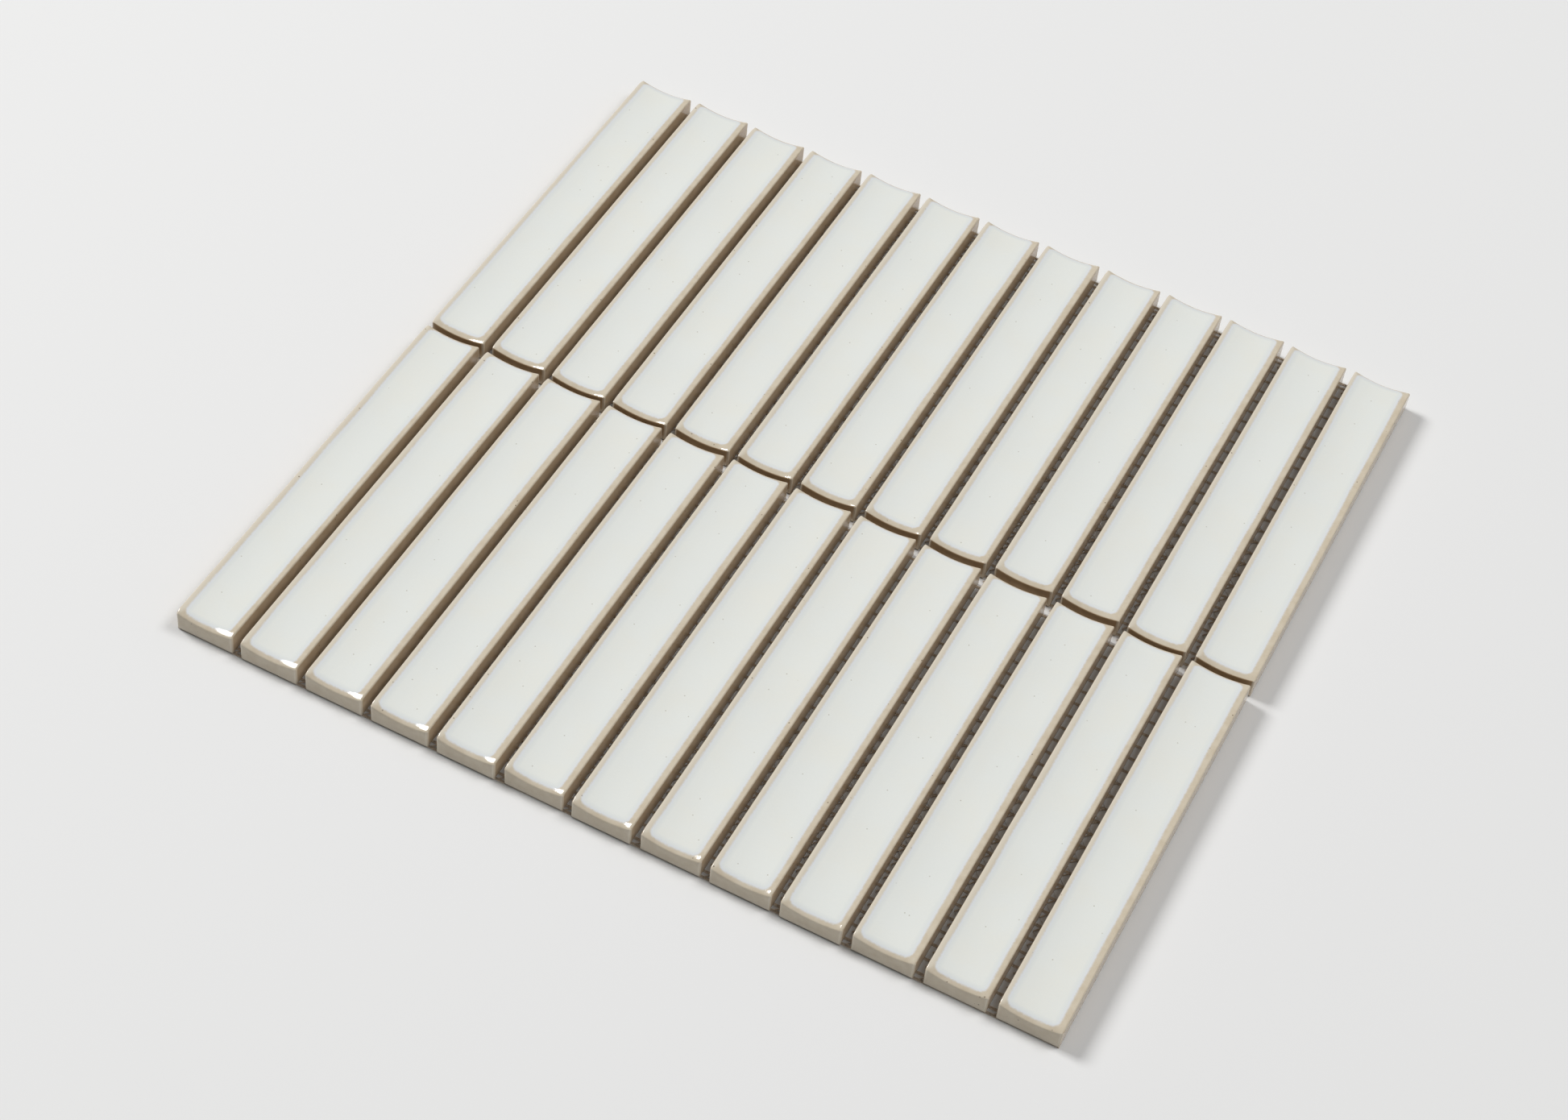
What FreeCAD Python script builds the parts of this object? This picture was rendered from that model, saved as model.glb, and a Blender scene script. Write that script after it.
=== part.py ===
import FreeCAD, Part
import math
import os

import Sketcher
from FreeCAD import Vector

# A mesh-mounted sheet of finger mosaic: two rows of long glazed tiles with a hollow top,
# set side by side on one flat net of crossing yarns.
# The origin is on the floor under the middle of the sheet. X runs across the tiles, Y along
# them from the front row to the back row, and Z up. All sizes are in millimetres.

doc = FreeCAD.newDocument("FingerMosaic")

driving_sizes = {
    "tile_width": 20.0,        # one tile across its hollow
    "tile_length": 145.0,      # one tile end to end
    "tile_height": 7.6,        # pressed block, before its rim is rounded
    "trough_depth": 1.5,       # how far the hollow top sinks below the rim
    "roll_length": 2.6,        # the top rolls down over this length at both ends
    "roll_drop": 0.75,
    "rim_radius": 0.5,         # rounding of the two long rims
    "end_radius": 0.4,         # rounding round both end faces, upright corners too
    "foot_chamfer": 0.3,       # bevel round the back face
    "key_width": 2.4,          # grooves in the back that key the adhesive
    "key_depth": 0.4,
    "key_spacing": 5.2,        # centre to centre
    "key_end_margin": 7.0,     # plain back left at each end of a groove
    "column_joint": 3.0,       # grout joint between two tiles of a row
    "row_joint": 2.0,          # grout joint between the two rows
    "column_count": 13.0,
    "row_stagger": 0.4,        # how far the back row lies right of the front row
    "slip_step": 0.2,          # unit of the small errors in laying the tiles
    "yarn_width": 0.45,
    "yarn_thickness": 0.3,
    "rung_spacing": 5.4,       # yarns that cross the tiles
    "stringer_spacing": 5.8,   # yarns that run along the tiles
    "stringer_skew": 2.4,      # degrees off the tiles
    "net_inset": 0.5,          # net edge inside the outermost tile edges
}

# How many steps each tile slipped towards the back when the sheet was laid, left to right.
back_row_slips = [0, 1, -2, -2, 0, 0, 0, 1, 1, 2, 2, -1, 0]
front_row_slips = [1, 0, 0, 0, -1, 1, -1, 0, -1, -2, 0, 1, 1]

sheet = doc.addObject("Spreadsheet::Sheet", "Sizes")
for row_number, (alias, value) in enumerate(driving_sizes.items(), start=1):
    sheet.set(f"A{row_number}", alias)
    sheet.set(f"B{row_number}", str(value))
    sheet.setAlias(f"B{row_number}", alias)
doc.recompute()

column_pitch = "(Sizes.tile_width + Sizes.column_joint)"
row_width = f"(Sizes.column_count * {column_pitch} - Sizes.column_joint)"
net_width = f"({row_width} + Sizes.row_stagger - 2 * Sizes.net_inset)"
net_length = "(2 * Sizes.tile_length + Sizes.row_joint - 2 * Sizes.net_inset)"
net_thickness = "(2 * Sizes.yarn_thickness)"
rung_steps = f"floor(({net_length} - Sizes.yarn_width) / Sizes.rung_spacing)"
last_rung = f"({rung_steps} * Sizes.rung_spacing + Sizes.yarn_width)"
trough_radius = "((Sizes.tile_width^2 / 4 + Sizes.trough_depth^2) / (2 * Sizes.trough_depth))"
trough_centre = f"(Sizes.tile_height - Sizes.trough_depth + {trough_radius})"


def origin_plane(body, role):
    return next(feature for feature in body.Origin.OriginFeatures if feature.Role == role)


def new_sketch(body, name, role):
    sketch = body.newObject("Sketcher::SketchObject", name)
    sketch.AttachmentSupport = [(origin_plane(body, role), "")]
    sketch.MapMode = "FlatFace"
    return sketch


def drive(sketch, constraint, name, expression):
    """Add a dimension to a sketch and bind it to the size sheet."""
    index = sketch.addConstraint(constraint)
    sketch.renameConstraint(index, name)
    sketch.setExpression(f"Constraints.{name}", expression)


def add_rectangle(sketch, label, left, width, length):
    """Rectangle with its left side at the given X, reaching evenly above and below the X axis."""
    corners = [Vector(1, -1, 0), Vector(2, -1, 0), Vector(2, 1, 0), Vector(1, 1, 0)]
    bottom, right, top, left_side = [
        sketch.addGeometry(Part.LineSegment(corners[i], corners[(i + 1) % 4]), False) for i in range(4)
    ]
    sides = [bottom, right, top, left_side]
    for first, second in zip(sides, sides[1:] + sides[:1]):
        sketch.addConstraint(Sketcher.Constraint("Coincident", first, 2, second, 1))
    for side in (bottom, top):
        sketch.addConstraint(Sketcher.Constraint("Horizontal", side))
    sketch.addConstraint(Sketcher.Constraint("Vertical", right))
    sketch.addConstraint(Sketcher.Constraint("Symmetric", bottom, 1, top, 2, -1))
    drive(sketch, Sketcher.Constraint("DistanceX", -1, 1, bottom, 1, 1.0), f"{label}_left", left)
    drive(sketch, Sketcher.Constraint("DistanceX", bottom, 1, bottom, 2, 1.0), f"{label}_width", width)
    drive(sketch, Sketcher.Constraint("DistanceY", right, 1, right, 2, 2.0), f"{label}_length", length)


def add_pad(body, name, sketch, height):
    pad = body.newObject("PartDesign::Pad", name)
    pad.Profile = sketch
    pad.setExpression("Length", height)
    return pad


def edge_names(shape, wanted):
    return [f"Edge{i}" for i, edge in enumerate(shape.Edges, start=1) if wanted(edge)]


def is_on_back(edge):
    return all(abs(vertex.Z) < 1e-6 for vertex in edge.Vertexes)


def end_edges(shape):
    """Edges round both end faces, but not those on the back."""
    reach = max(vertex.Y for vertex in shape.Vertexes)
    return edge_names(shape, lambda edge: not is_on_back(edge) and all(
        abs(vertex.Y) > reach - 1e-6 for vertex in edge.Vertexes))


def add_section(body, name, place):
    """Sketch of the tile cut across, at the given Y: hollow top, rounded rims, plain sides."""
    section = new_sketch(body, name, "XZ_Plane")
    section.setExpression("AttachmentOffset.Base.z", f"-({place})")
    hub = Vector(0, 40.2, 0)
    right_rim, left_rim = Vector(9.5, 6.9, 0), Vector(-9.5, 6.9, 0)
    corners = [Vector(-10, -7, 0), Vector(10, -7, 0), Vector(10, 6.9, 0), Vector(-10, 6.9, 0)]
    upwards = Vector(0, 0, 1)
    shapes = [
        Part.LineSegment(corners[0], corners[1]),
        Part.LineSegment(corners[1], corners[2]),
        Part.ArcOfCircle(Part.Circle(right_rim, upwards, 0.5), 0, math.radians(106)),
        Part.ArcOfCircle(Part.Circle(hub, upwards, 34), math.radians(254), math.radians(286)),
        Part.ArcOfCircle(Part.Circle(left_rim, upwards, 0.5), math.radians(74), math.radians(180)),
        Part.LineSegment(corners[3], corners[0]),
    ]
    back, right, rim_right, hollow, rim_left, left = [section.addGeometry(shape, False) for shape in shapes]
    for join in ((back, 2, right, 1), (left, 2, back, 1)):
        section.addConstraint(Sketcher.Constraint("Coincident", *join))
    smooth_joins = [(right, 2, rim_right, 1), (rim_right, 2, hollow, 2),
                    (hollow, 1, rim_left, 1), (rim_left, 2, left, 1)]
    for join in smooth_joins:
        section.addConstraint(Sketcher.Constraint("Tangent", *join))
    section.addConstraint(Sketcher.Constraint("Vertical", right))
    section.addConstraint(Sketcher.Constraint("Vertical", left))
    section.addConstraint(Sketcher.Constraint("Symmetric", back, 1, back, 2, -2))
    section.addConstraint(Sketcher.Constraint("PointOnObject", hollow, 3, -2))
    for arc, label, radius, size in ((rim_right, "right_rim", 0.5, "Sizes.rim_radius"),
                                     (rim_left, "left_rim", 0.5, "Sizes.rim_radius"),
                                     (hollow, "trough", 34.0, trough_radius)):
        drive(section, Sketcher.Constraint("Radius", arc, radius), f"{label}_radius", size)
    drive(section, Sketcher.Constraint("DistanceX", -1, 1, back, 2, 10.0), "half_width", "Sizes.tile_width / 2")
    drive(section, Sketcher.Constraint("DistanceY", -1, 1, back, 2, -7.0), "spare_below", "-Sizes.tile_height")
    drive(section, Sketcher.Constraint("DistanceY", -1, 1, hollow, 3, 40.0), "trough_centre", trough_centre)
    return section


def make_tile(label, column, row_side, slip):
    """One pressed tile with its origin at the middle of its back face."""
    body = doc.addObject("PartDesign::Body", label)
    body.Label = label

    middle = add_pad(body, f"{label}_middle", add_section(body, f"{label}_middle_section", "0"),
                     "Sizes.tile_length - 2 * Sizes.roll_length")
    middle.Midplane = True
    for end, name in ((-1, "front"), (1, "back")):
        roll_start = f"{end} * (Sizes.tile_length / 2 - Sizes.roll_length)"
        section = add_section(body, f"{label}_{name}_section", roll_start)
        rolled = add_pad(body, f"{label}_{name}_roll", section, "Sizes.roll_length")
        rolled.UseCustomVector = True
        rolled.AlongSketchNormal = True
        rolled.Direction = Vector(0, end, -0.3)
        rolled.setExpression("Direction.z", "-Sizes.roll_drop / Sizes.roll_length")

    floor_plan = new_sketch(body, f"{label}_back_plan", "XY_Plane")
    add_rectangle(floor_plan, "plan", "-Sizes.tile_width", "2 * Sizes.tile_width", "2 * Sizes.tile_length")
    flat_back = body.newObject("PartDesign::Pocket", f"{label}_flat_back")
    flat_back.Profile = floor_plan
    flat_back.Type = "ThroughAll"
    doc.recompute()

    ends = body.newObject("PartDesign::Fillet", f"{label}_ends")
    ends.Base = (flat_back, end_edges(flat_back.Shape))
    ends.setExpression("Radius", "Sizes.end_radius")
    doc.recompute()

    foot = body.newObject("PartDesign::Chamfer", f"{label}_foot")
    foot.Base = (ends, edge_names(ends.Shape, is_on_back))
    foot.setExpression("Size", "Sizes.foot_chamfer")

    grooves = new_sketch(body, f"{label}_grooves", "XY_Plane")
    for place, name in ((-1, "left"), (0, "middle"), (1, "right")):
        add_rectangle(grooves, name, f"{place} * Sizes.key_spacing - Sizes.key_width / 2", "Sizes.key_width",
                      "Sizes.tile_length - 2 * Sizes.key_end_margin")
    keys = body.newObject("PartDesign::Pocket", f"{label}_keys")
    keys.Profile = grooves
    keys.Reversed = True
    keys.setExpression("Length", "Sizes.key_depth")

    first_x = f"Sizes.tile_width / 2 - {row_width} / 2"
    stagger = f"{row_side} * Sizes.row_stagger / 2"
    row_y = f"{row_side} * (Sizes.row_joint + Sizes.tile_length) / 2"
    body.setExpression("Placement.Base.x", f"{column - 1} * {column_pitch} + {first_x} + {stagger}")
    body.setExpression("Placement.Base.y", f"{row_y} + {slip} * Sizes.slip_step")
    body.setExpression("Placement.Base.z", net_thickness)
    return body


def make_yarns(label, long_way, across, spacing):
    """A row of parallel flat yarns along Y, evenly set out to both sides of the origin."""
    count = f"(floor(({across} - Sizes.yarn_width) / {spacing}) + 1)"
    body = doc.addObject("PartDesign::Body", label)
    body.Label = label
    body.AllowCompound = True
    outline = new_sketch(body, f"{label}_outline", "XY_Plane")
    first_left = f"-({count} - 1) * {spacing} / 2 - Sizes.yarn_width / 2"
    add_rectangle(outline, "yarn", first_left, "Sizes.yarn_width", long_way)
    yarn = add_pad(body, f"{label}_yarn", outline, "Sizes.yarn_thickness")
    doc.recompute()
    repeat = body.newObject("PartDesign::LinearPattern", f"{label}_repeat")
    repeat.Originals = [yarn]
    repeat.Direction = (outline, ["H_Axis"])
    repeat.setExpression("Length", f"({count} - 1) * {spacing}")
    repeat.setExpression("Occurrences", count)
    body.Tip = repeat
    return body


def make_net():
    """The backing net: rungs across the tiles lie on the floor, stringers lie on the rungs."""
    rungs = make_yarns("net_rungs", net_width, net_length, "Sizes.rung_spacing")
    rungs.Placement.Rotation = FreeCAD.Rotation(Vector(0, 0, 1), 90)

    reach = f"({net_width} + {net_length} * sin(Sizes.stringer_skew * 1deg))"
    slanted = make_yarns("slanted_yarns", f"{net_length} + {net_width} * sin(Sizes.stringer_skew * 1deg)",
                         reach, "Sizes.stringer_spacing")
    slanted.setExpression("Placement.Rotation.Angle", "Sizes.stringer_skew")
    trim = doc.addObject("Part::Box", "net_trim")
    trim.setExpression("Length", net_width)
    trim.setExpression("Width", last_rung)
    trim.setExpression("Height", net_thickness)
    trim.setExpression("Placement.Base.x", f"-{net_width} / 2")
    trim.setExpression("Placement.Base.y", f"-{last_rung} / 2")
    stringers = doc.addObject("Part::Common", "net_stringers")
    stringers.Base = slanted
    stringers.Tool = trim
    stringers.setExpression("Placement.Base.z", "Sizes.yarn_thickness")
    return [rungs, stringers]


pieces = make_net()
for column in range(1, int(sheet.get("column_count")) + 1):
    for row, row_side, slips in (("back", 1, back_row_slips), ("front", -1, front_row_slips)):
        slip = slips[(column - 1) % len(slips)]
        pieces.append(make_tile(f"{row}_tile_{column:02d}", column, row_side, slip))
doc.recompute()

for item in doc.Objects:
    if "Invalid" in item.State or "Error" in item.State:
        raise RuntimeError(f"{item.Label} failed: {item.State}")
for piece in pieces:
    if piece.Shape.isNull() or not piece.Shape.isValid():
        raise RuntimeError(f"{piece.Label} has no valid solid")

os.makedirs("parts", exist_ok=True)
for piece in pieces:
    piece.Shape.exportStep(f"parts/{piece.Label}.step")
    print(piece.Label, len(piece.Shape.Solids), "solids", round(piece.Shape.Volume, 1), "mm3")
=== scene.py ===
import math
import random

import bmesh
import bpy
from mathutils import Matrix, Quaternion, Vector, noise


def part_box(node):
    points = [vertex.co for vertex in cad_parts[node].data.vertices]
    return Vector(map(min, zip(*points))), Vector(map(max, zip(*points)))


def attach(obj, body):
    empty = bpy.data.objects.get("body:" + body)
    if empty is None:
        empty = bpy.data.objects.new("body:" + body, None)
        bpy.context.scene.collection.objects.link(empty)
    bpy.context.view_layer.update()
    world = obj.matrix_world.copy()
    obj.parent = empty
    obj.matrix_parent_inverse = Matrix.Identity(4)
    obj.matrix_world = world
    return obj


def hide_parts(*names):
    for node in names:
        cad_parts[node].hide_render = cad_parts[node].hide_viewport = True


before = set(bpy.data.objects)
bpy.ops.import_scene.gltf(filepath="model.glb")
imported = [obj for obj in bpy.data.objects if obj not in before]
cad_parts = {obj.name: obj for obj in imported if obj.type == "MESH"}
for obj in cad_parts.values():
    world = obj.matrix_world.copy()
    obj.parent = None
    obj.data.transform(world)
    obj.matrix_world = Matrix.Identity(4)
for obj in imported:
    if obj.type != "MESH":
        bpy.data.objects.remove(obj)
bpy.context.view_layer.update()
mm = 0.001
touching = 0.01 * mm      # closer than this counts as lying on it
mapSquare = 200 * mm      # one square of the face and wall maps
tileNodes = sorted(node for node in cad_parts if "_tile_" in node)
tileLow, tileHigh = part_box(tileNodes[0])
halfWide, halfLong = ((tileHigh - tileLow) / (2 * mm))[:2]     # of one finger, in mm
print("frame loaded")


# small helpers for every piece

def cutAcross(bm, spot, direction):
    # one cut right through the mesh, as a knife plane
    everything = bm.verts[:] + bm.edges[:] + bm.faces[:]
    bmesh.ops.bisect_plane(bm, geom=everything, dist=1e-6, plane_co=spot, plane_no=direction)


def finishPiece(name, bm, material, sharpAngle=None):
    bmesh.ops.recalc_face_normals(bm, faces=bm.faces[:])
    mesh = bpy.data.meshes.new(name)
    bm.to_mesh(mesh)
    bm.free()
    mesh.materials.append(material)
    mesh.shade_smooth()
    if sharpAngle:
        mesh.set_sharp_from_angle(angle=math.radians(sharpAngle))
    piece = bpy.data.objects.new(name, mesh)
    bpy.context.scene.collection.objects.link(piece)
    return piece


def sRgb(red, green, blue):
    # screen colour 0-255 to the linear colour that a shader takes
    return tuple(((c / 255 + 0.055) / 1.055) ** 2.4 for c in (red, green, blue)) + (1.0,)


# node helpers

def newMaterial(name):
    material = bpy.data.materials.new(name)
    material.use_nodes = True
    tree = material.node_tree
    shader = tree.nodes["Principled BSDF"]
    return material, tree, shader


def addNode(tree, kind, settings=None, sockets=None):
    node = tree.nodes.new(kind)
    for key, value in (settings or {}).items():
        setattr(node, key, value)
    for key, value in (sockets or {}).items():
        if isinstance(value, bpy.types.NodeSocket):
            tree.links.new(value, node.inputs[key])
        else:
            node.inputs[key].default_value = value
    return node


def maths(tree, operation, first, second=0.0, third=0.0):
    node = addNode(tree, "ShaderNodeMath", {"operation": operation}, {0: first, 1: second, 2: third})
    return node.outputs[0]


def plus(tree, first, second):
    return maths(tree, "ADD", first, second)


def minus(tree, first, second):
    return maths(tree, "SUBTRACT", first, second)


def times(tree, first, second):
    return maths(tree, "MULTIPLY", first, second)


def larger(tree, first, second):
    return maths(tree, "MAXIMUM", first, second)


def smaller(tree, first, second):
    return maths(tree, "MINIMUM", first, second)


def unsigned(tree, value):
    return maths(tree, "ABSOLUTE", value)


rising = (0.0, 1.0)
falling = (1.0, 0.0)


def fade(tree, value, limits, ends=rising):
    # a soft step: the first end up to the first limit, the second end from the second limit on
    node = addNode(tree, "ShaderNodeMapRange", {"interpolation_type": "SMOOTHSTEP", "clamp": True},
                   {"Value": value, "From Min": limits[0], "From Max": limits[1],
                    "To Min": ends[0], "To Max": ends[1]})
    return node.outputs["Result"]


def mixColour(tree, share, first, second, blend="MIX"):
    node = addNode(tree, "ShaderNodeMix", {"data_type": "RGBA", "blend_type": blend, "clamp_factor": True},
                   {"Factor": share, 6: first, 7: second})
    return node.outputs[2]


def objectPlace(tree):
    # where a point is on the sheet, in metres
    return addNode(tree, "ShaderNodeTexCoord").outputs["Object"]


def placeInMm(tree, place, axis):
    split = addNode(tree, "ShaderNodeSeparateXYZ", sockets={0: place})
    return times(tree, split.outputs["XYZ".index(axis)], 1 / mm)


def noiseValue(tree, place, scale, detail, roughness=0.5):
    # scale is in swells a metre
    node = addNode(tree, "ShaderNodeTexNoise", {"noise_dimensions": "3D"},
                   {"Vector": place, "Scale": scale, "Detail": detail, "Roughness": roughness})
    return node.outputs["Fac"]


def wander(tree, place, scale, detail, amount):
    return times(tree, minus(tree, noiseValue(tree, place, scale, detail), 0.5), amount)


def spots(tree, place, spot, chosenGreys):
    # a few round spots: the cells that drew a bright grey, and only near their middle
    cells = addNode(tree, "ShaderNodeTexVoronoi", {"voronoi_dimensions": spot["dimensions"]},
                    {"Vector": place, "Scale": spot["cells"]})
    chosen = fade(tree, cells.outputs["Color"], chosenGreys)
    radius = spot["radius"] * spot["cells"]
    middle = fade(tree, cells.outputs["Distance"], (radius / 2, radius), falling)
    return times(tree, times(tree, chosen, middle), spot["share"])


def addBump(tree, shader, height, strength, depth):
    bump = addNode(tree, "ShaderNodeBump",
                   sockets={"Strength": strength, "Distance": depth, "Height": height})
    tree.links.new(bump.outputs[0], shader.inputs["Normal"])


# glaze and clay of the fingers

glazeFinish = {
    "fieldColour": sRgb(229, 231, 226),
    "fieldWarm": sRgb(230, 230, 222),
    "fringeColour": sRgb(220, 223, 226),    # bluish line where the thick glaze begins
    "haloColour": sRgb(222, 225, 222),
    "speckColour": sRgb(158, 148, 126),
    "clayColour": sRgb(209, 198, 178),
    "clayDark": sRgb(200, 187, 165),
    "paintedLightColour": sRgb(219, 210, 193),         # painted light: a sheen on the left rims, a highlight on the uprights, a lift on the lower edge
    "pinholeColour": sRgb(112, 96, 74),
    # painted shade at the foot of the ends and on the back
    "footColour": sRgb(122, 108, 90),
    "sideShade": (0.84, 0.75, 0.66, 1),      # painted shade: the long sides, which face the joints between fingers, are darker and browner than the rims
    "jointShade": (0.86, 0.72, 0.55, 1),     # painted shade: the ends that face the row joint are darker and browner still, most of all near their top
    "jointTopShade": (0.68, 0.54, 0.40, 1),  # most of all near their top

    # the glaze field, in mm
    "fieldShift": 0.2,          # it lies this far to the left
    "sideBand": 1.65,           # thin glaze along each long edge
    "frontBand": 1.2,
    "backBand": 0.5,
    "jointBand": 0.5,           # added to the front band beside the row joint
    "cornerRound": 2.3,
    "glazeStart": (-0.3, 0.6),  # from the field's edge inwards: no thick glaze yet, all of it
    "fringe": (0.3, 1.3),
    "halo": (1.0, 3.0),

    # the parts of the clay, in mm: a fade's first and second limit
    "jointReach": (3.0, 6.0),   # from the row joint's middle
    "leftRimLight": (0.7, 2.4),      # in from the left side
    "longSide": (0.15, 0.45),   # in from either side
    "endFace": (0.08, 0.25),    # in from either end
    "upright": (0.5, 1.0),      # in from the side and the end together
    "rimGloss": (0.04, 0.2),    # in from the side or the end, whichever is nearer
    "foot": (0.45, 0.85),       # above the floor, like the next three
    "lowEdge": (1.0, 2.8),
    "jointTop": (3.0, 5.5),
    "crest": (7.3, 7.75),
    "crestWander": 0.5,         # the clay's mottle moves the crest's line by up to half of this
    "edgeLightShare": 0.65,        # how near the painted highlight and painted light on these edges come to the painted light colour

    # unevenness: swells a metre, detail, and roughness or an amount in mm
    "slowWander": (40.0, 1.0, 0.8),
    "fineWander": (1300.0, 3.0, 0.7),
    "clayNoise": (260.0, 4.0, 0.6),
    "clayMottle": (0.3, 0.75),
    "cloudNoise": (70.0, 3.0),
    "cloudMottle": (0.35, 0.75),
    "rippleNoise": (240.0, 2.0),
    "grainNoise": (1400.0, 3.0),
    "grainShare": 0.5,
    "bumpStrength": 0.35,
    "bumpDepth": 0.06 * mm,
    "chosenGreys": (0.66, 0.70),  # cells of this grey and brighter hold a spot; cells are counted a metre
    "specks": {"dimensions": "2D", "cells": 130.0, "radius": 0.28 * mm, "share": 0.7},
    "pinholes": {"dimensions": "3D", "cells": 400.0, "radius": 0.32 * mm, "share": 0.8},

    "glazeRoughness": 0.09,
    "rimRoughness": 0.1,
    "clayRoughness": 0.38,
    "sideGloss": 0.8,           # the long sides are nearly as glossy as the rims
    "glassIndex": 1.5,
}


def mapParts(tree, name):
    # across and along, in mm from the middle of the map
    layer = addNode(tree, "ShaderNodeUVMap", {"uv_map": name})
    split = addNode(tree, "ShaderNodeSeparateXYZ", sockets={0: layer.outputs[0]})
    return [times(tree, minus(tree, split.outputs[i], 0.5), mapSquare / mm) for i in (0, 1)]


def nearJoint(tree, look, place):
    # 1 beside the row joint, 0 on the rest of the fingers
    return fade(tree, unsigned(tree, placeInMm(tree, place, "Y")), look["jointReach"], falling)


def fieldDepth(tree, look, place):
    # how deep inside the glaze field a point lies, in mm
    # the field is a rectangle with rounded corners and an uneven edge
    across, along = mapParts(tree, "face")
    corner = look["cornerRound"]
    sideIn = minus(tree, halfWide - look["sideBand"], unsigned(tree, plus(tree, across, look["fieldShift"])))
    wider = times(tree, nearJoint(tree, look, place), look["jointBand"])
    frontIn = minus(tree, plus(tree, along, halfLong - look["frontBand"]), wider)
    backIn = minus(tree, halfLong - look["backBand"], along)
    endIn = smaller(tree, frontIn, backIn)
    intoCorner = [larger(tree, minus(tree, corner, inside), 0.0) for inside in (sideIn, endIn)]
    squares = [times(tree, part, part) for part in intoCorner]
    reach = maths(tree, "SQRT", plus(tree, *squares))
    uneven = plus(tree, wander(tree, place, *look["slowWander"]), wander(tree, place, *look["fineWander"]))
    return plus(tree, minus(tree, corner, reach), uneven)


def clayParts(tree, look, place, tone):
    # how far a point belongs to each part of the clay, from 0 to 1
    across, along = mapParts(tree, "wall")
    fromSide = minus(tree, halfWide, unsigned(tree, across))
    fromEnd = minus(tree, halfLong, unsigned(tree, along))
    height = placeInMm(tree, place, "Z")
    unevenHeight = plus(tree, height, times(tree, minus(tree, tone, 0.5), look["crestWander"]))
    crest = fade(tree, unevenHeight, look["crest"])
    below = minus(tree, 1.0, crest)
    leftRimLight = fade(tree, plus(tree, across, halfWide), look["leftRimLight"], falling)
    longSide = fade(tree, fromSide, look["longSide"], falling)
    offSides = minus(tree, 1.0, longSide)
    innerEnd = times(tree, fade(tree, fromEnd, look["endFace"], falling), nearJoint(tree, look, place))
    # painted highlight on the uprights and painted light on the lower part of the ends
    upright = fade(tree, plus(tree, fromSide, fromEnd), look["upright"], falling)
    lowEdge = times(tree, fade(tree, height, look["lowEdge"], falling), offSides)
    edgeLight = times(tree, larger(tree, upright, lowEdge), look["edgeLightShare"])
    rimGloss = fade(tree, smaller(tree, fromSide, fromEnd), look["rimGloss"])
    return {
        "leftRimLight": times(tree, leftRimLight, crest),
        "longSide": times(tree, longSide, below),
        "innerEnd": times(tree, innerEnd, below),
        "jointTop": fade(tree, height, look["jointTop"]),
        "edgeLight": times(tree, edgeLight, below),
        "foot": times(tree, fade(tree, height, look["foot"], falling), offSides),
        "glossy": larger(tree, rimGloss, times(tree, longSide, look["sideGloss"])),
    }


def clayColours(tree, look, place, parts, tone):
    clay = mixColour(tree, fade(tree, tone, look["clayMottle"]), look["clayColour"], look["clayDark"])
    # painted light: the left rims, which face the key lamp, are paler
    clay = mixColour(tree, parts["leftRimLight"], clay, look["paintedLightColour"])
    # painted shade on the long sides, which face the joints between the fingers
    clay = mixColour(tree, parts["longSide"], clay, look["sideShade"], "MULTIPLY")
    # painted shade on the ends at the row joint, darkest near their top
    jointShade = mixColour(tree, parts["jointTop"], look["jointShade"], look["jointTopShade"])
    clay = mixColour(tree, parts["innerEnd"], clay, jointShade, "MULTIPLY")
    # painted highlight on the uprights and painted light on the lower edge of the ends
    clay = mixColour(tree, parts["edgeLight"], clay, look["paintedLightColour"])
    # painted shade: the foot of the ends and the back are darker
    clay = mixColour(tree, parts["foot"], clay, look["footColour"])
    pinholes = spots(tree, place, look["pinholes"], look["chosenGreys"])
    return mixColour(tree, pinholes, clay, look["pinholeColour"])


def fieldColours(tree, look, place, depth):
    cloud = fade(tree, noiseValue(tree, place, *look["cloudNoise"]), look["cloudMottle"])
    field = mixColour(tree, cloud, look["fieldColour"], look["fieldWarm"])
    specks = spots(tree, place, look["specks"], look["chosenGreys"])
    field = mixColour(tree, specks, field, look["speckColour"])
    field = mixColour(tree, fade(tree, depth, look["halo"]), look["haloColour"], field)
    return mixColour(tree, fade(tree, depth, look["fringe"]), look["fringeColour"], field)


def makeStoneware(look):
    material, tree, shader = newMaterial("glazedStoneware")
    place = objectPlace(tree)
    depth = fieldDepth(tree, look, place)
    thick = fade(tree, depth, look["glazeStart"])
    tone = noiseValue(tree, place, *look["clayNoise"])
    parts = clayParts(tree, look, place, tone)

    clay = clayColours(tree, look, place, parts, tone)
    field = fieldColours(tree, look, place, depth)
    tree.links.new(mixColour(tree, thick, clay, field), shader.inputs["Base Color"])

    bare = fade(tree, parts["glossy"], (0.0, 1.0), (look["clayRoughness"], look["rimRoughness"]))
    roughness = fade(tree, thick, (0.0, 1.0), (bare, look["glazeRoughness"]))
    tree.links.new(roughness, shader.inputs["Roughness"])
    shader.inputs["IOR"].default_value = look["glassIndex"]

    ripple = noiseValue(tree, place, *look["rippleNoise"])
    grain = times(tree, noiseValue(tree, place, *look["grainNoise"]), minus(tree, 1.0, thick))
    height = maths(tree, "MULTIPLY_ADD", grain, look["grainShare"], ripple)
    addBump(tree, shader, height, look["bumpStrength"], look["bumpDepth"])
    return material


# the fingers: hollow-topped bars

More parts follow.
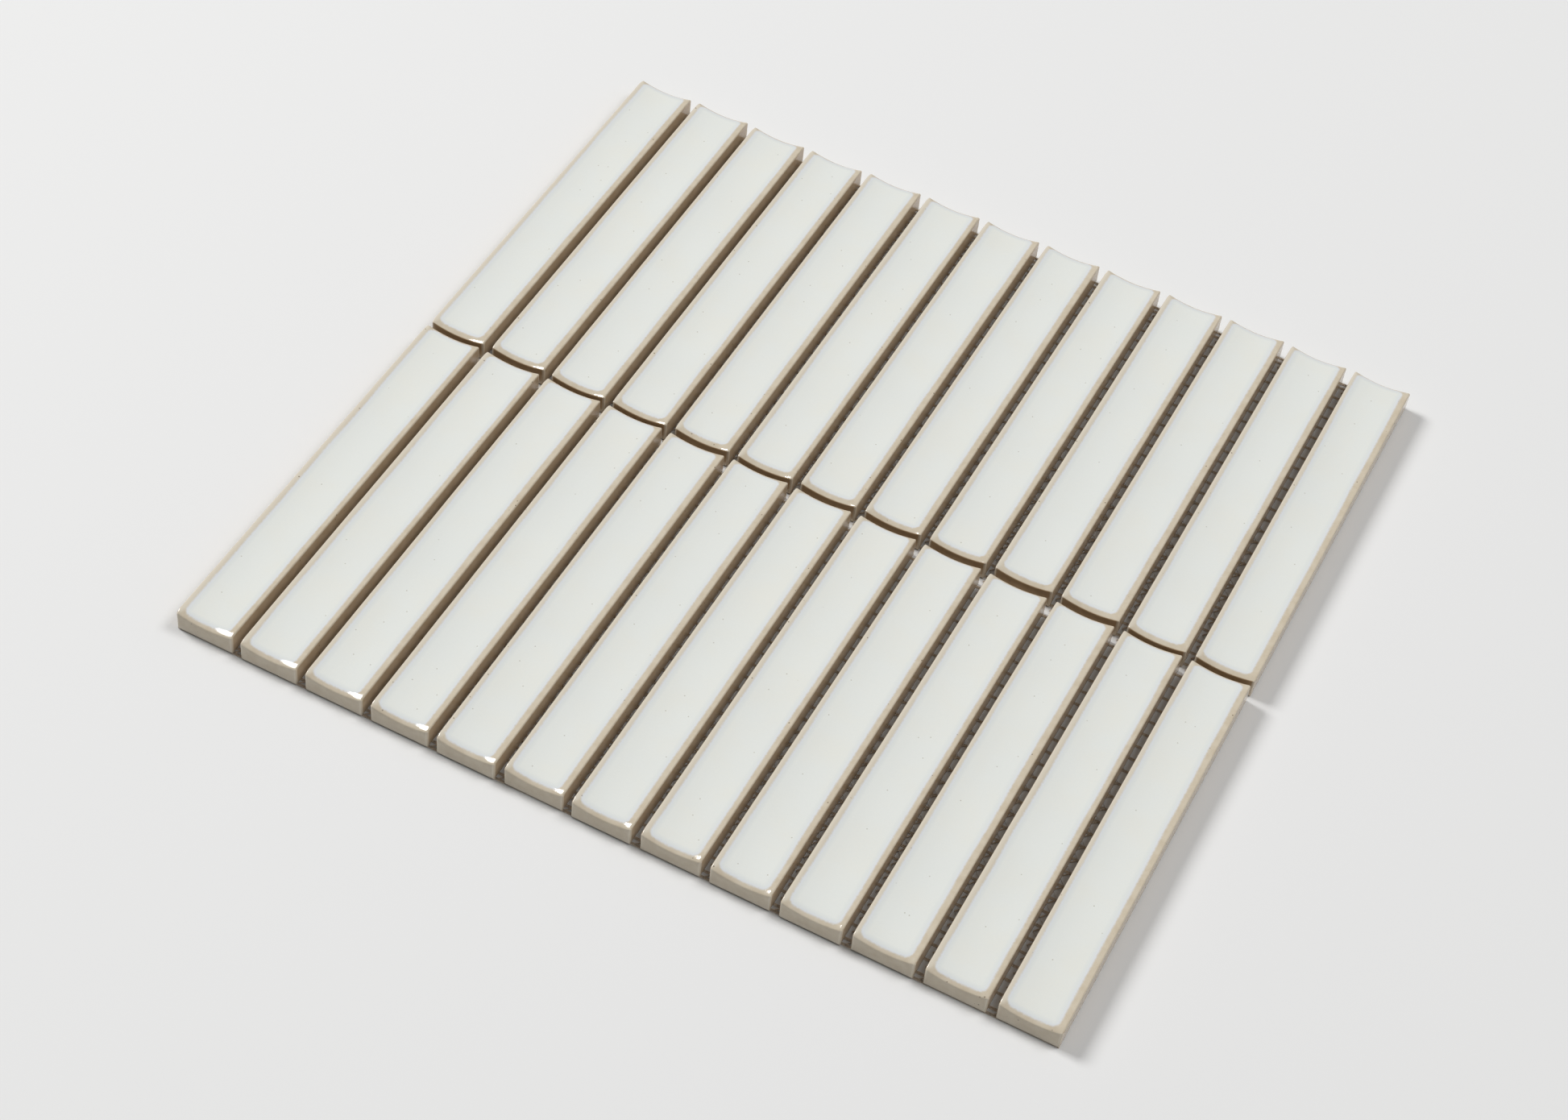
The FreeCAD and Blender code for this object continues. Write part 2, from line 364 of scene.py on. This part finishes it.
fingerShape = {
    "roundSize": 0.65 * mm,      # full bevel offset; each kind of edge takes a share of it
    "roundSteps": 4,
    "longShare": 1.0,
    "endShare": 0.42,
    "cornerShare": 0.95,
    "footShare": 0.25,
    "troughDepth": 1.5 * mm,
    "rimDrop": 0.145 * mm,       # the rounded crest lies this far under the blank's sharp edge
    "rollLength": 2.7 * mm,      # the top rolls down over this length at both ends
    "rollDrop": 0.75 * mm,
    "rollPower": 1.58,
    "innerRoll": 0.76,           # the ends at the row joint roll down by this share of it
    "lipDrop": 0.3 * mm,         # the lower edge of both ends hangs a little below the back
    "keyPlaces": (-5.2 * mm, 0.0, 5.2 * mm),
    "keyHalf": 1.2 * mm,         # half a groove's width
    "keyDepth": 0.4 * mm,
    "keyEnd": 7.0 * mm,          # plain back left at both ends of a groove
    "troughCuts": (-7.6 * mm, -2.6 * mm, 0.0, 2.6 * mm, 7.6 * mm),
    "crossCuts": 18,
    "rollCuts": (0.7 * mm, 1.05 * mm, 1.5 * mm, 2.05 * mm, 2.7 * mm),
    "supportIn": 1.1 * mm,       # cuts beside the roundings, which keep the flats flat
    "footCut": 0.6 * mm,
    "wobble": 0.03 * mm,
    "wobbleRise": 0.5,           # the wobble up and down is less than that across
    "wobbleSize": 16 * mm,
    "wobbleApart": 50,           # sets the fingers apart in the noise
    "wobbleFrom": 0.9 * mm,      # above the back
    "glazeSlide": 0.25 * mm,     # how far the glaze field may sit off the middle
}


def onLongSide(vert, low, high):
    return min(abs(vert.co.x - low.x), abs(vert.co.x - high.x)) < touching


def onEndFace(vert, low, high):
    return min(abs(vert.co.y - low.y), abs(vert.co.y - high.y)) < touching


def facesUp(face):
    return face.normal.z > 0.7


def facesDown(face):
    return face.normal.z < -0.9


def isWall(face):
    return abs(face.normal.z) < 0.5


def isWithin(face, middle, halfAcross, halfAlong):
    away = face.calc_center_median() - middle
    return abs(away.x) < halfAcross and abs(away.y) < halfAlong


def blankBar(low, high):
    bm = bmesh.new()
    bmesh.ops.create_cube(bm, size=1.0)
    bmesh.ops.scale(bm, vec=high - low, verts=bm.verts)
    bmesh.ops.translate(bm, vec=(low + high) / 2, verts=bm.verts)
    return bm


def cutBar(bm, low, high, shape):
    middle = (low + high) / 2
    half = (high - low) / 2
    across = [place + side * shape["keyHalf"] for place in shape["keyPlaces"] for side in (-1, 1)]
    across += shape["troughCuts"]
    across += [side * (half.x - shape["supportIn"]) for side in (-1, 1)]
    for offset in sorted(across):
        cutAcross(bm, (middle.x + offset, 0, 0), (1, 0, 0))
    keyStop = half.y - shape["keyEnd"]
    steps = shape["crossCuts"]
    along = [-keyStop + 2 * keyStop * i / steps for i in range(steps + 1)]
    along += [side * (half.y - cut) for cut in shape["rollCuts"] for side in (-1, 1)]
    for offset in sorted(along):
        cutAcross(bm, (0, middle.y + offset, 0), (0, 1, 0))
    for height in (high.z - shape["supportIn"], low.z + shape["footCut"]):
        cutAcross(bm, (0, 0, height), (0, 0, 1))


def hollowTop(bm, low, high, shape):
    # the top and the line of cuts below it sink together: an arc across, and a roll-off at both ends
    middle = (low + high) / 2
    half = (high - low) / 2
    depth = shape["troughDepth"]
    radius = (half.x ** 2 + depth ** 2) / (2 * depth)
    for vert in bm.verts:
        if vert.co.z > high.z - shape["supportIn"] - touching:
            arc = (radius - depth) - math.sqrt(radius ** 2 - (vert.co.x - middle.x) ** 2)
            fromEnd = half.y - abs(vert.co.y - middle.y)
            roll = max(0.0, 1 - fromEnd / shape["rollLength"]) ** shape["rollPower"]
            if (vert.co.y - middle.y) * middle.y < 0:
                roll *= shape["innerRoll"]
            vert.co.z += arc - roll * shape["rollDrop"]


def dropLips(bm, low, high, shape):
    for vert in bm.verts:
        if onEndFace(vert, low, high) and vert.co.z < low.z + touching:
            vert.co.z -= shape["lipDrop"]


def weighEdges(bm, low, high, shape):
    # the bevel modifier rounds each edge by its own share of the full size
    bm.normal_update()
    weight = bm.edges.layers.float.new("bevel_weight_edge")
    for edge in bm.edges:
        onLong = all(onLongSide(vert, low, high) for vert in edge.verts)
        onEnd = all(onEndFace(vert, low, high) for vert in edge.verts)
        if onLong and onEnd:
            edge[weight] = shape["cornerShare"]
        elif sum(facesUp(face) for face in edge.link_faces) == 1:
            edge[weight] = shape["longShare"] if onLong else shape["endShare"]
        elif sum(facesDown(face) for face in edge.link_faces) == 1:
            edge[weight] = shape["footShare"]


def addRounding(piece, shape):
    bevel = piece.modifiers.new("rounding", "BEVEL")
    bevel.limit_method = "WEIGHT"
    bevel.offset_type = "OFFSET"
    bevel.width = shape["roundSize"]
    bevel.segments = shape["roundSteps"]
    bevel.profile = 0.5
    bevel.material = -1


def sinkKeys(bm, low, high, shape):
    # three shallow grooves in the back, closed at both ends
    bm.normal_update()
    middle = (low + high) / 2
    stop = (high.y - low.y) / 2 - shape["keyEnd"]
    for place in shape["keyPlaces"]:
        keyMiddle = middle + Vector((place, 0, 0))
        grooves = [f for f in bm.faces if facesDown(f) and isWithin(f, keyMiddle, shape["keyHalf"], stop)]
        mouth = [e for f in grooves for e in f.edges if sum(f in grooves for f in e.link_faces) == 1]
        grown = bmesh.ops.extrude_face_region(bm, geom=grooves)
        newVerts = [g for g in grown["geom"] if isinstance(g, bmesh.types.BMVert)]
        bmesh.ops.translate(bm, vec=(0, 0, shape["keyDepth"]), verts=newVerts)
        bmesh.ops.delete(bm, geom=[f for f in grooves if f.is_valid], context="FACES_ONLY")
        walls = {f for e in mouth if e.is_valid for f in e.link_faces if isWall(f)}
        for edge in {e for f in walls for e in f.edges}:
            edge.smooth = False


def wobbleShape(bm, low, shape, seed):
    # kiln-fired edges are never quite straight; the back stays flat on its net
    random.seed(seed)
    away = Vector((random.random(), random.random(), random.random())) * shape["wobbleApart"]
    for vert in bm.verts:
        if vert.co.z > low.z + shape["wobbleFrom"]:
            # noise.noise is the same each run, and noise.noise_vector isn't
            x, y, z = vert.co / shape["wobbleSize"] + away
            push = Vector([noise.noise(Vector(spot)) for spot in ((x, y, z), (y, z, x), (z, x, y))])
            push.z *= shape["wobbleRise"]
            vert.co += push * shape["wobble"]


def mapFace(bm, low, high, name, slide):
    # the map square has the finger's middle in its own middle, or the middle of the glaze field
    middle = (low + high) / 2
    layer = bm.loops.layers.uv.new(name)
    for face in bm.faces:
        for loop in face.loops:
            away = loop.vert.co - middle
            loop[layer].uv = (0.5 + (away.x - slide) / mapSquare, 0.5 + away.y / mapSquare)


def makeFinger(node, seed, shape, material):
    low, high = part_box(node)
    blankHigh = high + Vector((0, 0, shape["rimDrop"]))
    bm = blankBar(low, blankHigh)
    cutBar(bm, low, blankHigh, shape)
    hollowTop(bm, low, blankHigh, shape)
    dropLips(bm, low, blankHigh, shape)
    weighEdges(bm, low, blankHigh, shape)
    sinkKeys(bm, low, blankHigh, shape)
    wobbleShape(bm, low, shape, seed)
    mapFace(bm, low, blankHigh, "face", random.uniform(-1, 1) * shape["glazeSlide"])
    mapFace(bm, low, blankHigh, "wall", 0.0)
    row, number = node.split("_tile_")
    finger = finishPiece(row + "Finger" + number, bm, material)
    addRounding(finger, shape)
    return finger


# the net: rungs across, zigzag stringers along

netYarn = {
    "sides": 6,
    "thick": 0.3 * mm,
    "rungWide": 0.45 * mm,
    "rungSpacing": 5.4 * mm,
    "rungStep": 12 * mm,
    "rungPair": 0.26 * mm,       # each rung is two yarns, this far from its middle
    "rungWander": 0.175 * mm,
    "rungApart": 900,            # sets neighbours apart in the noise
    "rungLayer": 3.0,
    "edgeRung": 145.2 * mm,      # the net's last rungs, under the outer ends
    "stringerWide": 0.405 * mm,
    "stringerSpacing": 5.8 * mm,
    "stringerCount": 57,
    "stringerSkew": 2.4,         # degrees
    "zigzagHalf": 1.25 * mm,
    "stringerWander": 0.7 * mm,
    "stringerApart": 700,
    "stringerLayer": 8.0,
    "edgeGap": 0.3 * mm,         # stringers end this far inside the net's sides
    "fewestBends": 4,            # shorter stringers are left out
    "wanderSize": 40 * mm,
    "sharpAngle": 60,
    "rungColours": (sRgb(214, 198, 178), sRgb(184, 169, 150)),
    "stringerColours": (sRgb(206, 190, 170), sRgb(176, 160, 142)),
    "twistNoise": (1500.0, 2.0),
    "twistMottle": (0.35, 0.65),
    "roughness": 0.55,
    "bumpStrength": 0.6,
    "bumpDepth": 0.05 * mm,
}


def makeYarn(bm, points, wide, thick, sides):
    # one ring of the yarn's section, extruded from point to point
    up = Vector((0, 0, 1))
    across = (points[1] - points[0]).cross(up).normalized()
    ring = bmesh.ops.create_circle(bm, cap_ends=True, segments=sides, radius=0.5)["verts"]
    turn = Matrix((across, up, across.cross(up))).transposed().to_4x4()
    section = Matrix.Translation(points[0]) @ turn @ Matrix.Diagonal((wide, thick, 1, 1))
    bmesh.ops.transform(bm, matrix=section, verts=ring)
    loop = ring[0].link_faces[0].edges[:]
    for before, after in zip(points[:-1], points[1:]):
        grown = bmesh.ops.extrude_edge_only(bm, edges=loop)["geom"]
        ring = [g for g in grown if isinstance(g, bmesh.types.BMVert)]
        loop = [g for g in grown if isinstance(g, bmesh.types.BMEdge) and all(v in ring for v in g.verts)]
        bmesh.ops.translate(bm, vec=after - before, verts=ring)
    bmesh.ops.holes_fill(bm, edges=loop, sides=sides)


def addYarn(whole, points, wide, look):
    bm = bmesh.new()
    makeYarn(bm, points, wide, look["thick"], look["sides"])
    bmesh.ops.recalc_face_normals(bm, faces=bm.faces[:])
    mesh = bpy.data.meshes.new("yarn")
    bm.to_mesh(mesh)
    bm.free()
    whole.from_mesh(mesh)
    bpy.data.meshes.remove(mesh)


def rungPlaces(look):
    low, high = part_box("net_rungs")
    steps = round((high.y - low.y - look["rungWide"]) / look["rungSpacing"])
    return [(i - steps / 2) * look["rungSpacing"] for i in range(steps + 1)]


def makeRungs(look, material):
    low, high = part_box("net_rungs")
    whole = bmesh.new()
    steps = round((high.x - low.x) / look["rungStep"])
    for y in [-look["edgeRung"]] + rungPlaces(look) + [look["edgeRung"]]:
        for beside in (-look["rungPair"], look["rungPair"]):
            points = []
            for k in range(steps + 1):
                x = low.x + (high.x - low.x) * k / steps
                swell = Vector((x / look["wanderSize"], y * look["rungApart"], look["rungLayer"]))
                sway = noise.noise(swell) * look["rungWander"]
                points.append(Vector((x, y + beside + sway, look["thick"] / 2)))
            addYarn(whole, points, look["rungWide"], look)
    return finishPiece("netRungs", whole, material, look["sharpAngle"])


def makeStringers(look, material):
    # a bend at each rung and halfway between two
    low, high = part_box("net_stringers")
    whole = bmesh.new()
    skew = math.tan(math.radians(look["stringerSkew"]))
    rungs = rungPlaces(look)
    bends = [rungs[0] + look["rungSpacing"] / 2 * k for k in range(2 * len(rungs) - 1)]
    for i in range(look["stringerCount"]):
        x0 = (i - (look["stringerCount"] - 1) / 2) * look["stringerSpacing"]
        points = []
        for k, y in enumerate([-look["edgeRung"]] + bends + [look["edgeRung"]]):
            x = x0 - y * skew + (look["zigzagHalf"] if k % 2 else -look["zigzagHalf"])
            swell = Vector((x0 * look["stringerApart"], y / look["wanderSize"], look["stringerLayer"]))
            x += noise.noise(swell) * look["stringerWander"]
            if low.x + look["edgeGap"] < x < high.x - look["edgeGap"]:
                points.append(Vector((x, y, low.z + look["thick"] / 2)))
        if len(points) >= look["fewestBends"]:
            addYarn(whole, points, look["stringerWide"], look)
    return finishPiece("netStringers", whole, material, look["sharpAngle"])


def makeNetMaterial(name, colours, look):
    material, tree, shader = newMaterial(name)
    twist = noiseValue(tree, objectPlace(tree), *look["twistNoise"])
    colour = mixColour(tree, fade(tree, twist, look["twistMottle"]), colours[0], colours[1])
    tree.links.new(colour, shader.inputs["Base Color"])
    shader.inputs["Roughness"].default_value = look["roughness"]
    addBump(tree, shader, twist, look["bumpStrength"], look["bumpDepth"])
    return material


# floor, light and camera

studio = {
    "floorColour": (0.80, 0.80, 0.795, 1),
    "floorRoughness": 0.9,
    "floorShine": 0.2,
    "floorSize": 8.0,
    "worldColour": (1.0, 1.0, 1.0, 1),
    "worldStrength": 0.142,      # the room's mean light
    "worldSlope": 0.30,          # how much more comes from its bright side
    "brightSide": (0.78, 0.22, 0.59),
    "lamps": {
        "keyLamp": {"from": Vector((-0.724, 0.06, 0.690)), "distance": 4.2, "size": 1.5, "power": 124,
                    "glossy": True},
        "fillLamp": {"from": Vector((0.45, 0.28, 0.85)), "distance": 4.0, "size": 1.7, "power": 52,
                     "glossy": False},
    },
}

cameraView = {
    "aim": Vector((-0.0019, -0.0246, 0)),
    "azimuth": 21.71,            # degrees, like the next two
    "elevation": 48.99,
    "roll": 7.29,
    "distance": 0.9782,
    "lens": 70.79,               # mm, on a sensor this many mm wide
    "sensor": 36,
    "nearest": 0.01,
}


def makeFloor(look):
    bm = bmesh.new()
    bmesh.ops.create_grid(bm, x_segments=1, y_segments=1, size=look["floorSize"] / 2)
    material, tree, shader = newMaterial("paleFloor")
    shader.inputs["Base Color"].default_value = look["floorColour"]
    shader.inputs["Roughness"].default_value = look["floorRoughness"]
    shader.inputs["Specular IOR Level"].default_value = look["floorShine"]
    floor = finishPiece("studioFloor", bm, material)


def makeWorld(look):
    # the room is a soft slope of light, brighter towards one side
    world = bpy.data.worlds.new("studioWorld")
    bpy.context.scene.world = world
    world.use_nodes = True
    tree = world.node_tree
    background = tree.nodes["Background"]
    background.inputs["Color"].default_value = look["worldColour"]
    direction = addNode(tree, "ShaderNodeTexCoord").outputs["Generated"]
    slope = addNode(tree, "ShaderNodeVectorMath", {"operation": "DOT_PRODUCT"},
                    {0: direction, 1: look["brightSide"]})
    strength = maths(tree, "MULTIPLY_ADD", slope.outputs["Value"], look["worldSlope"], look["worldStrength"])
    tree.links.new(larger(tree, strength, 0.0), background.inputs["Strength"])


def makeLamps(look):
    for name, setting in look["lamps"].items():
        lamp = bpy.data.lights.new(name, "AREA")
        lamp.shape = "DISK"
        lamp.size = setting["size"]
        lamp.energy = setting["power"]
        holder = bpy.data.objects.new(name, lamp)
        holder.location = setting["from"].normalized() * setting["distance"]
        holder.rotation_euler = setting["from"].to_track_quat("Z", "Y").to_euler()
        holder.visible_glossy = setting["glossy"]
        bpy.context.scene.collection.objects.link(holder)


def makeCamera(look):
    azimuth = math.radians(look["azimuth"])
    elevation = math.radians(look["elevation"])
    back = Vector((math.sin(azimuth) * math.cos(elevation), -math.cos(azimuth) * math.cos(elevation),
                   math.sin(elevation)))
    camera = bpy.data.objects.new("studioCamera", bpy.data.cameras.new("studioCamera"))
    camera.data.lens = look["lens"]
    camera.data.sensor_width = look["sensor"]
    camera.data.clip_start = look["nearest"]
    camera.location = look["aim"] + back * look["distance"]
    level = back.to_track_quat("Z", "Y")
    camera.rotation_euler = (level @ Quaternion((0, 0, 1), math.radians(look["roll"]))).to_euler()
    bpy.context.scene.collection.objects.link(camera)
    bpy.context.scene.camera = camera


makeCamera(cameraView)
makeWorld(studio)
makeLamps(studio)
makeFloor(studio)
print("studio ready")

stoneware = makeStoneware(glazeFinish)
for seed, node in enumerate(tileNodes):
    finger = makeFinger(node, seed, fingerShape, stoneware)
    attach(finger, "root")
    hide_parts(node)
print("fingers made:", len(tileNodes))

rungMaterial = makeNetMaterial("rungYarn", netYarn["rungColours"], netYarn)
stringerMaterial = makeNetMaterial("stringerYarn", netYarn["stringerColours"], netYarn)
for net, node in ((makeRungs(netYarn, rungMaterial), "net_rungs"),
                  (makeStringers(netYarn, stringerMaterial), "net_stringers")):
    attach(net, "root")
    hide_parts(node)
print("net made")

bpy.context.scene.view_settings.view_transform = "Standard"
